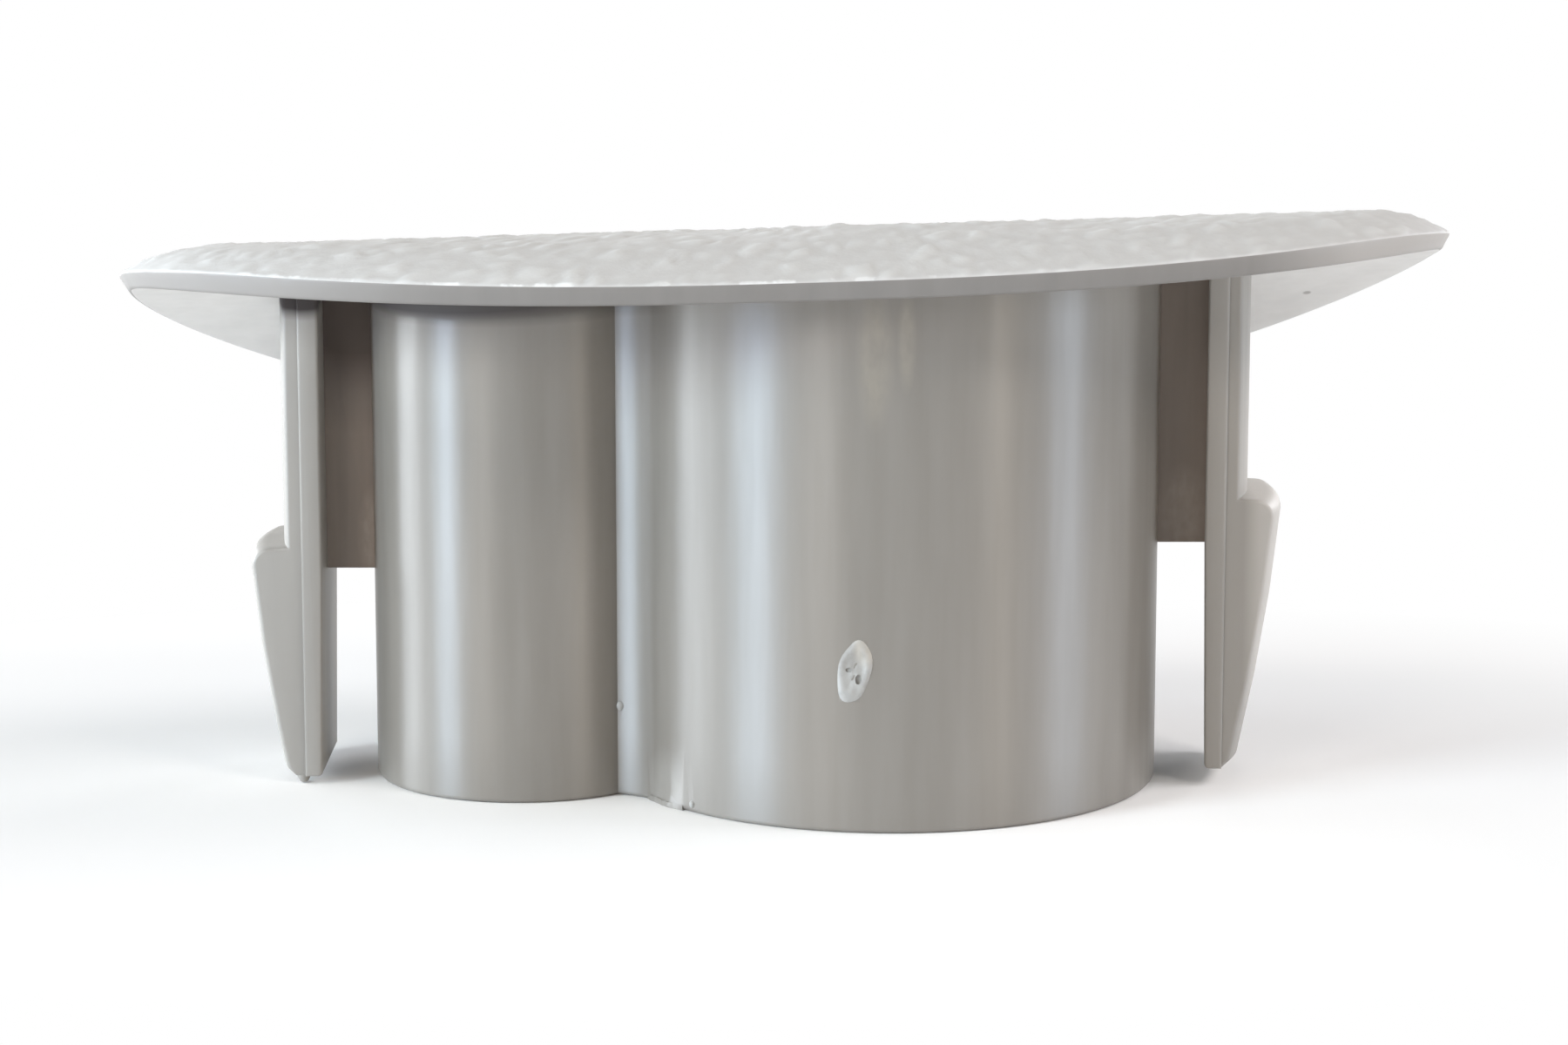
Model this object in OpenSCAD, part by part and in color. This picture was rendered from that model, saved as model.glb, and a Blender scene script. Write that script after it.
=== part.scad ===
// Door lock pin base cap: one moulded trim piece for a door sill.
// The origin is on the lock pin bore axis, in the plane of the barrel ends. +Z is up the pin axis,
// +X runs along the flange away from the lamp barrel.

/* [Flange] */
// Length of the oval flange in mm
flange_length = 39.6; // [38:0.2:44]
// Reach of the flange from the line of its tips to the near side in mm
flange_near_reach = 10; // [9.6:0.1:11.5]
// Reach of the flange from the line of its tips to the far side in mm
flange_far_reach = 12.5; // [12:0.1:14]
// Fullness of the near half of the oval, 2 is an ellipse
flange_near_fullness = 2.5; // [2.2:0.05:3]
// Fullness of the far half of the oval, 2 is an ellipse
flange_far_fullness = 2.15; // [2:0.05:2.8]
// Radius of the bend across the flange in mm
flange_bend_radius = 25; // [24:0.5:40]
// Rise of the crown above the rim edge in mm
crown_rise = 0.55; // [0.3:0.05:0.9]
// Width of the rounded band along the rim in mm
crown_band = 3; // [2:0.1:3.4]
// Height of the rim wall in mm
rim_height = 0.7; // [0.6:0.05:1.2]
// Amount the rim wall leans in at its lower edge in mm
rim_lean = 0.3; // [0.1:0.05:0.5]
// Flange centre along X in mm
flange_centre_x = -3.1; // [-3.6:0.1:-2.4]
// Flange centre along Y in mm
flange_centre_y = -1.25; // [-1.6:0.05:-0.6]
// Height of the rim ends above the barrel ends in mm
flange_height = 16.15; // [15:0.05:19]
// Slope of the flange down to the far side in degrees
flange_tilt = 14; // [8:0.1:16]
// Rise of the flange toward +X in degrees
flange_roll = 1.25; // [0:0.05:2.5]
// Turn of the flange about the pin axis in degrees
flange_turn = 3.95; // [0:0.05:5]

/* [Barrels] */
// Bore for the lock pin knob in mm
pin_bore_diameter = 13.7; // [12.5:0.1:14]
// Wall of the pin barrel in mm
pin_barrel_wall = 1.35; // [1.1:0.05:1.6]
// Bore for the indicator lamp in mm
lamp_bore_diameter = 6.3; // [5.5:0.1:6.6]
// Wall of the lamp barrel in mm
lamp_barrel_wall = 1.4; // [1.1:0.05:1.6]
// Wall left between the two bores in mm
bore_wall = 1.15; // [0.9:0.05:1.3]
// Width of the bridge wall between the barrels in mm
bridge_width = 7.4; // [6.4:0.1:7.8]
// Chamfer round the barrel ends in mm
barrel_chamfer = 0.15; // [0.05:0.05:0.3]

/* [Legs] */
// Gap between the lamp barrel and its leg in mm
lamp_leg_gap = 1.4; // [1.25:0.01:1.6]
// Gap between the pin barrel and its leg in mm
pin_leg_gap = 1.6; // [1.4:0.01:1.75]
// Width of each leg in mm
leg_width = 4.4; // [3.8:0.1:5.2]
// Thickness of the flat inner plate of each leg in mm
leg_plate = 0.62; // [0.5:0.02:0.8]
// Thickness of the lamp side leg at its middle in mm
lamp_leg_thickness = 1.32; // [1.2:0.02:1.5]
// Thickness of the pin side leg at its middle in mm
pin_leg_thickness = 1.14; // [1.1:0.02:1.4]
// Radius of the rounded outer face of each leg in mm
leg_face_radius = 7.4; // [6:0.1:10]
// Step from the inner plate back to the outer face piece in mm
leg_step = 0.15; // [0.05:0.05:0.3]
// Height of the lamp side leg tip above the barrel ends in mm
lamp_tip_height = 0.25; // [0.1:0.05:0.5]
// Height of the pin side leg tip above the barrel ends in mm
pin_tip_height = 0.5; // [0.2:0.05:0.7]
// Draft of the inner face from the web down to the leg tip in mm
leg_draft = 0.1; // [0.05:0.01:0.15]
// Radius of the inner corner of the leg tip in mm
leg_tip_radius = 0.15; // [0.05:0.05:0.3]

/* [Barbs] */
// Top of the barb on the lamp side in mm
lamp_barb_top = 7.3; // [6.6:0.1:8]
// Top of the barb on the pin side in mm
pin_barb_top = 8.8; // [8.4:0.1:9.5]
// Reach of the barb beyond the leg in mm
barb_reach = 1.02; // [0.7:0.02:1.3]
// Radius of the barb top corner in mm
barb_corner = 0.5; // [0.3:0.05:0.6]
// Drop of the barb top toward its corner in mm
barb_top_drop = 0.03; // [0.01:0.01:0.1]
// Drop from the barb top to the first bend of its slope in mm
barb_upper_drop = 3.05; // [2.6:0.05:3.6]
// Narrowing of the barb at the first bend in mm
barb_upper_set = 0.28; // [0.15:0.01:0.35]
// Drop from the barb top to the second bend of its slope in mm
barb_lower_drop = 5.6; // [5:0.1:6]
// Narrowing of the barb at the second bend in mm
barb_lower_set = 0.68; // [0.5:0.01:0.72]
// Narrowing of the barb per mm below the second bend
barb_end_slope = 0.2; // [0.1:0.01:0.22]
// Chamfer of the leg tip in mm
barb_tip_chamfer = 0.22; // [0.1:0.02:0.4]

/* [Webs] */
// Thickness of the webs between barrels and legs in mm
web_thickness = 1.2; // [0.8:0.1:1.6]
// Lower edge of the web on the lamp side in mm
lamp_web_bottom = 6.4; // [5.5:0.1:8]
// Lower edge of the web on the pin side in mm
pin_web_bottom = 7.2; // [6:0.1:8.5]

/* [Hidden] */
$fn = 96;
pin_bore_radius = pin_bore_diameter / 2;
lamp_bore_radius = lamp_bore_diameter / 2;
pin_barrel_radius = pin_bore_radius + pin_barrel_wall;
lamp_barrel_radius = lamp_bore_radius + lamp_barrel_wall;
barrel_spacing = pin_bore_radius + bore_wall + lamp_bore_radius;
lamp_leg_x = -barrel_spacing - lamp_barrel_radius - lamp_leg_gap;
pin_leg_x = pin_barrel_radius + pin_leg_gap;
half_length = flange_length / 2;
// Past the top of the flange, for stems and cuts
over_top = flange_height + flange_far_reach;
// How far one piece runs into the next so that they join as one
join = 0.3;
outline_steps = 72;
band_steps = [1, 0.73, 0.47, 0.27, 0.12, 0];
core_steps = [0.3, 0.65];

// Fullness of the oval at step i
function fullness(i) = 2 * i > outline_steps ? flange_near_fullness : flange_far_fullness;
// Point of the oval at step i
function oval_u(i) =
    let (c = cos(360 * i / outline_steps))
    half_length * sign(c) * pow(abs(c), 2 / fullness(i));
function oval_v(i) =
    let (s = sin(360 * i / outline_steps))
    (s < 0 ? flange_near_reach : flange_far_reach) * sign(s) * pow(abs(s), 2 / fullness(i));
// Height of the bend at distance v across the flange
function bend_at(v) = sqrt(flange_bend_radius * flange_bend_radius - v * v) - flange_bend_radius;
// Share of the oval left when it is set in by d at step i
function set_in(i, d) = 1 - d / norm([oval_u(i), oval_v(i)]);
// One ring of points: set in by d, then shrunk by k, at height h over the bend
function ring(d, k, h) = [
    for (i = [0 : outline_steps - 1])
        let (s = set_in(i, d) * k)
        [oval_u(i) * s, oval_v(i) * s, bend_at(oval_v(i) * s) + h]
];
flange_rings = concat(
    [for (k = core_steps) ring(crown_band, k, crown_rise)],
    [for (e = band_steps) ring(crown_band * e, 1, crown_rise * (1 - (1 - e) * (1 - e)))],
    [ring(rim_lean, 1, -rim_height)],
    [for (j = [len(core_steps) - 1 : -1 : 0]) ring(crown_band, core_steps[j], -rim_height)]
);
ring_count = len(flange_rings);
flange_points = concat(
    [for (r = flange_rings) for (p = r) p],
    [[0, 0, crown_rise], [0, 0, -rim_height]]
);
top_point = ring_count * outline_steps;
flange_faces = concat(
    [for (i = [0 : outline_steps - 1]) [top_point, (i + 1) % outline_steps, i]],
    [
        for (j = [0 : ring_count - 2])
        for (i = [0 : outline_steps - 1])
        for (t = [0, 1])
            let (n = (i + 1) % outline_steps)
            let (a = j * outline_steps)
            let (b = (j + 1) * outline_steps)
            t == 0 ? [b + i, a + i, a + n] : [b + i, a + n, b + n]
    ],
    [
        for (i = [0 : outline_steps - 1])
            let (b = (ring_count - 1) * outline_steps)
            [top_point + 1, b + i, b + (i + 1) % outline_steps]
    ]
);

// Puts a child drawn about the flange centre where the flange sits
module on_flange() {
    translate([flange_centre_x, flange_centre_y, flange_height])
        rotate([0, 0, flange_turn])
            rotate([0, -flange_roll, 0])
                rotate([-flange_tilt, 0, 0])
                    children();
}

// The bent, crowned oval flange
module flange() {
    on_flange()
        polyhedron(points = flange_points, faces = flange_faces, convexity = 4);
}

// Everything below the middle of the flange
module below_flange() {
    on_flange()
        translate([0, 0, -flange_bend_radius])
            rotate([0, 90, 0])
                cylinder(r = flange_bend_radius, h = 2 * flange_length, center = true);
}

// Outside of one barrel with its chamfered end
module barrel(radius) {
    cylinder(r1 = radius - barrel_chamfer, r2 = radius, h = barrel_chamfer);
    translate([0, 0, barrel_chamfer])
        cylinder(r = radius, h = over_top);
}

// Flat-sided wall that joins the two barrels
module bridge() {
    translate([-barrel_spacing, 0, 0])
        rotate([90, 0, 90])
            linear_extrude(height = barrel_spacing)
                polygon([
                    [-bridge_width / 2 + barrel_chamfer, 0],
                    [bridge_width / 2 - barrel_chamfer, 0],
                    [bridge_width / 2, barrel_chamfer],
                    [bridge_width / 2, over_top],
                    [-bridge_width / 2, over_top],
                    [-bridge_width / 2, barrel_chamfer]
                ]);
}

// Flat inner plate of a leg, +X outward, inner face at X = 0
module leg_inner(tip, web_bottom) {
    r = leg_tip_radius;
    translate([0, leg_width / 2, 0])
        rotate([90, 0, 0])
            linear_extrude(height = leg_width)
                polygon(concat(
                    [[leg_plate, tip], [leg_plate, over_top], [0, over_top], [0, web_bottom]],
                    [
                        for (a = [180 : 15 : 270])
                            [leg_draft + r + r * cos(a), tip + r + r * sin(a)]
                    ]
                ));
}

// Half section of the rounded outer face and barb, X from the axis of the face
module leg_outer_section(thickness, tip, barb_top) {
    face = leg_face_radius;
    inner = face - thickness;
    reach = face + barb_reach;
    corner_z = barb_top - barb_top_drop - barb_corner;
    end_z = tip + barb_tip_chamfer;
    end_x = reach - barb_lower_set - (barb_top - barb_lower_drop - end_z) * barb_end_slope;
    polygon([
        [inner, over_top],
        [inner, tip],
        [end_x - barb_tip_chamfer, tip],
        [end_x, end_z],
        [reach - barb_lower_set, barb_top - barb_lower_drop],
        [reach - barb_upper_set, barb_top - barb_upper_drop],
        [reach, corner_z],
        [reach - barb_corner, corner_z],
        [reach - barb_corner, barb_top - barb_top_drop],
        [face, barb_top],
        [face, over_top]
    ]);
    translate([reach - barb_corner, corner_z])
        circle(r = barb_corner);
}

// Rounded outer face piece of a leg with its barb
module leg_outer(thickness, tip, barb_top) {
    depth = leg_width - 2 * leg_step;
    start = leg_draft + leg_tip_radius;
    intersection() {
        translate([thickness - leg_face_radius, 0, 0])
            rotate_extrude()
                leg_outer_section(thickness, tip, barb_top);
        translate([start, -depth / 2, 0])
            cube([thickness + 2 * barb_reach, depth, over_top]);
    }
}

// One leg, +X outward, inner face at X = 0
module leg(thickness, tip, barb_top, web_bottom) {
    leg_inner(tip, web_bottom);
    leg_outer(thickness, tip, barb_top);
}

// Thin web between a barrel and its leg, +X outward, leg inner face at X = 0
module web(gap, bottom) {
    translate([-gap - join, -web_thickness / 2, bottom])
        cube([gap + 2 * join, web_thickness, over_top - bottom]);
}

// Everything under the flange, before the bores
module stems() {
    barrel(pin_barrel_radius);
    translate([-barrel_spacing, 0, 0])
        barrel(lamp_barrel_radius);
    bridge();
    translate([pin_leg_x, 0, 0]) {
        leg(pin_leg_thickness, pin_tip_height, pin_barb_top, pin_web_bottom);
        web(pin_leg_gap, pin_web_bottom);
    }
    translate([lamp_leg_x, 0, 0])
        mirror([1, 0, 0]) {
            leg(lamp_leg_thickness, lamp_tip_height, lamp_barb_top, lamp_web_bottom);
            web(lamp_leg_gap, lamp_web_bottom);
        }
}

// Through bores for the lock pin knob and the lamp
module bores() {
    translate([0, 0, -join])
        cylinder(r = pin_bore_radius, h = over_top + 2 * join);
    translate([-barrel_spacing, 0, -join])
        cylinder(r = lamp_bore_radius, h = over_top + 2 * join);
}

// The whole cap
module base_cap() {
    color([0.68, 0.67, 0.65])
        difference() {
            union() {
                flange();
                intersection() {
                    stems();
                    below_flange();
                }
            }
            bores();
        }
}

base_cap();
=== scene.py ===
import math
from types import SimpleNamespace

import bpy
import numpy as np
from mathutils import Matrix, Vector


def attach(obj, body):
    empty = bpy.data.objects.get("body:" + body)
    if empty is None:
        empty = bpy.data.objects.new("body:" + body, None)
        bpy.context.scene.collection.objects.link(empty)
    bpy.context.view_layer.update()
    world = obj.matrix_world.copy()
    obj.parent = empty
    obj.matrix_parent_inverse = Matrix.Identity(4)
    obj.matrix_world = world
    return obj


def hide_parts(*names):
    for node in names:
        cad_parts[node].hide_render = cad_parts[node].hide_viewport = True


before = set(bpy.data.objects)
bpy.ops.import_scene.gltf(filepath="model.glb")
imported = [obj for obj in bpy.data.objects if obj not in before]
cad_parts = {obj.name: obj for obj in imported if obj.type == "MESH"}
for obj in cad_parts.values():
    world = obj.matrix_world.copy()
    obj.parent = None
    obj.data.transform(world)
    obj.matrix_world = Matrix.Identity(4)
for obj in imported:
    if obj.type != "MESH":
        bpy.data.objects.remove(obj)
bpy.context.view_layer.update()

bl_info = {
    "name": "Door Lock Pin Base Cap",
    "version": (1, 0, 0),
    "blender": (4, 5, 0),
    "location": "3D View > Sidebar > Base Cap",
    "description": "Builds a moulded door lock pin base cap, its finish and a studio stage",
    "category": "Add Mesh",
}

CAP_NODE = "base_cap"
CAP_BODY = "root"
MM = 0.001

# Sockets of a mix of two colours
MIX_SHARE, MIX_UNDER, MIX_OVER = 0, 6, 7
MIX_RESULT = 2

# Soft lights: turn from the camera's side and rise in degrees, distance and size in mm,
# power in watts and tone
LIT_POINT = (-3, 0, 8)
SOFT_LIGHTS = (
    ("left_front_light", -60, 17, 320, (90, 60), 0.46, (0.80, 0.96, 1.0)),
    ("warm_front_light", -30, 17, 320, (90, 60), 0.18, (1.0, 0.92, 0.84)),
    ("left_strip_light", -58, 7, 320, (82, 76), 0.40, (0.60, 0.75, 1.0)),
    ("left_light", -95, 7, 320, (150, 76), 0.64, (0.86, 0.93, 1.0)),
    ("back_left_light", -129, 7, 320, (230, 76), 0.70, (0.94, 0.96, 1.0)),
    ("right_strip_light", 78, 7, 320, (90, 76), 0.27, (0.72, 0.84, 1.0)),
    ("warm_strip_light", 46.5, 7, 320, (14, 76), 0.05, (1.0, 0.80, 0.55)),
    ("right_front_light", 50, 36, 340, (110, 70), 0.26, (1.0, 0.94, 0.88)),
    ("right_back_light", 135, 14, 330, (120, 80), 0.30, (0.97, 0.98, 1.0)),
    ("right_light", 90, 42, 340, (150, 120), 0.46, (1.0, 0.97, 0.98)),
    ("upper_left_light", -60, 42, 340, (150, 120), 0.30, (1.0, 0.93, 0.85)),
    ("back_light", 180, 20, 330, (120, 140), 0.03, (0.95, 0.98, 1.0)),
)

# Camera: place and target in mm, sensor width in mm, clip range in metres
CAMERA_PLACE = (-3.19, -127.685, 30.69)
CAMERA_TARGET = (-3.19, 0, 7.71)
SENSOR_WIDTH = 36.0
CLIP_RANGE = (0.005, 20.0)

# Floor: half its side in mm, its surface, and the end of its fade to white as a multiple of the start
FLOOR_HALF = 900.0
FLOOR_ROUGHNESS = 0.9
FLOOR_SPECULAR = 0.1
FADE_END = 2.5

# Marks of use, and of painted light and shade, each with its centre and half size along the axes in mm
RUB_MARKS = (((-0.6, -8.18, 13.9), (0.6, 1.2, 2.2)), ((0.3, -8.2, 14.4), (0.3, 1.2, 1.6)))
DIRT_SPECKS = (((13.15, 4.16, 14.26), (0.16, 0.2, 0.2)),)
# Painted light: paler places low on the two webs, a painted reflection and painted light
WEB_LIT_PAINT = (((8.95, -0.6, 8.2), (0.9, 0.5, 1.5)), ((-15.7, -0.6, 7.4), (0.5, 0.5, 1.6)))
# Painted highlights: pale dots on the rim's top edge stand in for sparkles of light on the grain
RIM_SPARKLE_PAINT = (((-9.0, -9.5, 14.5), (14.0, 9.0, 9.0)),)
# Painted light: the rim wall is paler at the two tips, where it catches more light
RIM_LEFT_END_LIGHT = (((-21.0, -7.0, 16.0), (9.0, 10.0, 5.0)),)
RIM_RIGHT_END_LIGHT = (((16.5, -5.5, 16.9), (7.2, 9.0, 5.0)),)
# Painted shadow: a dark, dull patch under the near rim on the lamp barrel and its leg, standing in for
# the rim's cast shadow
RIM_SHADOW_PAINT = (((-13.5, -2.8, 15.05), (8.0, 6.0, 0.8)), ((-17.6, -2.2, 14.9), (2.0, 2.0, 0.7)))
# Painted shade: the upper part of the lamp web is darkened under the flange
WEB_SHADE_PAINT = (((-16.2, -0.6, 15.5), (4.0, 3.0, 5.0)),)
# Painted light: the outer face of the pin side leg is paler where light falls on it
LEG_LIT_PAINT = (((11.5, -1.0, 8.0), (0.9, 5.0, 14.0)),)
GATE_MIDDLE = (((-1.2, -8.15, 4.72), (0.5, 0.9, 0.95)),)
GATE_FAINT_END = (((-1.56, -8.1, 5.45), (0.5, 0.9, 0.75)),)
# Painted highlight: a warm pale tint at the upper end of the gate mark
GATE_WARM_HIGHLIGHT = (((-0.80, -8.2, 5.45), (0.45, 0.8, 0.6)),)
FLASH_PALE = (((-6.7, -4.75, 0.5), (1.0, 1.2, 1.3)),)
# Painted shadow: a dark line by the flash, the shade in a small groove
FLASH_SLIT_SHADOW = (((-6.07, -5.51, 0.06), (0.4, 0.4, 0.16)),)

# How softly fine noise breaks up the marks, none for a plain edge
PLAIN_EDGE = 0.0
RUB_BREAKUP = 0.6
PALE_BREAKUP = 1.2
SPECK_BREAKUP = 0.9
WEB_BREAKUP = 0.4
RIM_BREAKUP = 0.7
GATE_BREAKUP = 0.45

# Noise of the finish: counts per metre and stretch along the axes, and the spans that are used
FLOW_STREAKS = (1300.0, (1, 1, 12))
DRAW_MARKS = (2600.0, (1, 1, 6))
FINE_WEAR = (4200.0, (1, 1, 2))
SPARKLE_SPOTS = 1500.0
DULL_CLOUDS = 700.0
FINE_GRIT = 6500.0
TORN_SKIN = 5200.0
TORN_DETAIL = 4.0
NOISE_MIDDLE = 0.5
NOISE_SPAN = (0.3, 0.7)
SPARKLE_SPAN = (0.53, 0.60)
TORN_SPAN = (0.25, 0.55)
PATCH_FADE = (0.0, 0.5)

# Finish: roughness swing of the noise, torn plastic, refraction, shine, strength and depth of the
# bumps in metres, and the angle in degrees from which an edge is sharp
STREAK_SWING = 0.03
CLOUD_SWING = 0.06
TORN_ROUGHNESS = (0.75, 0.5)
TORN_DARK = 0.82
PLASTIC_IOR = 1.56
GRAIN_IOR = 1.5
SATIN_SPECULAR = 1.0
SATIN_DRAWN = 0.88
GRAIN_SPECULAR = 0.15
DRAW_BUMP = (0.08, 0.00004)
GRIT_BUMP = (0.35, 0.00003)
TORN_BUMP = (0.2, 0.00004)
SHARP_ANGLE = 38

# Leather grain: drift of the pebbles, their domes and the grit on them, for one pebble's size,
# and the shares of grain and height where the finish changes
GRAIN_SEED = 3.0
DRIFT_SCALE = 0.7
DRIFT_DETAIL = 2.0
DRIFT_PULL = 1.1
DOME_EDGE = 0.42
DOME_MIDDLE = 0.7
GRIT_SCALE = 1.3
GRIT_DETAIL = 3.0
GRIT_ROUGHNESS = 0.6
GRIT_SHARE = 1.6
GRAIN_SPAN = (-0.9, 0.6)
GRAINED_FROM = 0.3
PIT_SPAN = (0.10, 0.60)
EDGE_SPAN = (0.97, 0.8)

# Flange: shares of the oval at the inner rings, rings below in mm from the rim, grain at the rim,
# the swell in mm along and across it, and the droop of the tips, from a share of its length on
MIDDLE_SHARE = 0.02
CORE_SHARE = 0.17
UNDER_RINGS = (0.8, 1.4, 2.1)
EDGE_GRAIN_LOSS = 0.85
WALL_GRAIN = 0.1
WALL_GRAIN_LIMIT = 0.6
SWELL_PLACE = (3.0, -5.4)
SWELL_SIZE = (5.6, 2.0)
TIP_START = 0.77
DROOP_POWER = 4

# Stems, in mm: overlap of a web, upper ends that follow the flange, spare length of a cutter,
# and as shares: the half way cut of a rounding, rises of a bore and the flare of its lip
WEB_JOIN = 0.3
UPPER_END = 1.0
CUT_SPARE = 1.0
HALF_ROUND = 0.3
BORE_RISES = (0.35, 0.7)
LIP_FLARE = 1.6

# Ragged edges, each wave with its height, count and start
RAGGED_LEVEL = 0.8
PATCH_WANDER = ((0.06, 2, 0.7), (0.03, 5, 0.0))
GATE_WAVES = ((0.25, 3, 1.0), (0.15, 7, 0.0))
FLASH_RAGGED = ((0.2, 11, 0.6), (0.08, 37, 0.0))
CREST_LEVEL = 0.85
CREST_WAVES = ((0.15, 17, 2.0),)

# Gate mark, in mm along the pin barrel from its front and up it, with its ring as shares of the
# way out, and its pits, each with its place from the middle, half size and depth
GATE_PLACE = (-1.17, 4.80)
GATE_SIZE = (0.52, 1.06)
GATE_ROOT = 0.35
GATE_LEAN = 0.12
GATE_RING = 0.68
GATE_RING_WIDTH = 0.2
GATE_EDGE = 0.85
GATE_SKIN = 0.012
GATE_RING_HEIGHT = 0.06
GATE_EDGE_DROP = 0.08
RIPPLE_HEIGHT = 0.02
RIPPLE_COUNTS = (9, 2)
GATE_PITS = ((0.12, -0.22, (0.09, 0.15), 0.07), (-0.16, 0.05, (0.09, 0.07), 0.03))
PIT_OPEN = 0.3

# Flash on the pin barrel's end: span in degrees, least and added reach and height in mm, power of
# its swell, root, foot and skin in mm, front as share of the reach and mm, slope as shares of both
FLASH_SPAN = (207, 221)
FLASH_REACH = (0.02, 0.12)
FLASH_HEIGHT = (0.12, 0.5)
FLASH_SWELL = 0.7
FLASH_ROOT = 0.45
FLASH_FOOT = 0.02
FLASH_SKIN = 0.03
FLASH_FRONT = ((0.9, 0.0), (1.0, 0.05), (0.72, 0.16))
FLASH_SLOPE = ((0.4, 0.3), (0.14, 0.62))

# Small nibs whose pale colour is a painted glint, with their centre and size, and the nib under a leg
# with its set in from the corner, in mm. Stations are a height, a half width and a half depth, for a
# pale nib as shares of its size
GLINT_NUBS = (((-8.1, -3.5, 2.76), 0.11), ((-5.9, -5.69, 0.27), 0.09))
NUB_STATIONS = ((-0.3, 1.0, 1.25), (0.02, 1.0, 1.25), (0.06, 0.65, 0.8), (0.08, 0.2, 0.25))
TIP_NIB_SET = (0.08, 0.34)
TIP_NIB_STATIONS = ((0.02, 0.05, 0.05), (0.06, 0.13, 0.14), (0.2, 0.2, 0.18), (0.5, 0.2, 0.18))

# Steps of the meshes, rounds of the search for a height, and last the steps of a rounding in
# degrees and of an arc in mm
RIM_STEPS = 640
OVAL_FINENESS = 40
CROWN_STEPS = 66
BAND_STEPS = 24
EDGE_STEPS = 6
FOOT_STEPS = 5
UNDER_STEPS = 7
WALL_STEPS = 10
FACE_STEPS = 12
BRIDGE_STEPS = 8
TIP_STEPS = 7
BARB_STEPS = 9
LIP_STEPS = 6
LEAST_ARC_STEPS = 4
PATCH_STEPS = 36
PATCH_ROWS = 9
FLASH_STEPS = 40
LUMP_STEPS = 14
HEIGHT_ROUNDS = 8
ROUND_STEPS = (0, 30, 60, 90)
ARC_STEP = 0.22


# Properties

def length(name, description, millimetres):
    """A length property, given in mm and kept in metres."""
    return bpy.props.FloatProperty(
        name=name, description=description, default=millimetres * MM,
        min=0.0, unit="LENGTH", precision=5)


def shift(name, description, millimetres):
    """A position property that may be negative, given in mm and kept in metres."""
    return bpy.props.FloatProperty(
        name=name, description=description, default=millimetres * MM,
        unit="LENGTH", precision=5)


def angle(name, description, degrees):
    """An angle property, given in degrees."""
    return bpy.props.FloatProperty(
        name=name, description=description, default=math.radians(degrees), subtype="ANGLE")


def ratio(name, description, value, top=1.0):
    """A plain number property from 0 to its top."""
    return bpy.props.FloatProperty(
        name=name, description=description, default=value, min=0.0, max=top)


def colour(name, description, value):
    """A colour property."""
    return bpy.props.FloatVectorProperty(
        name=name, description=description, default=value, size=3,
        min=0.0, max=1.0, subtype="COLOR")


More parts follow.
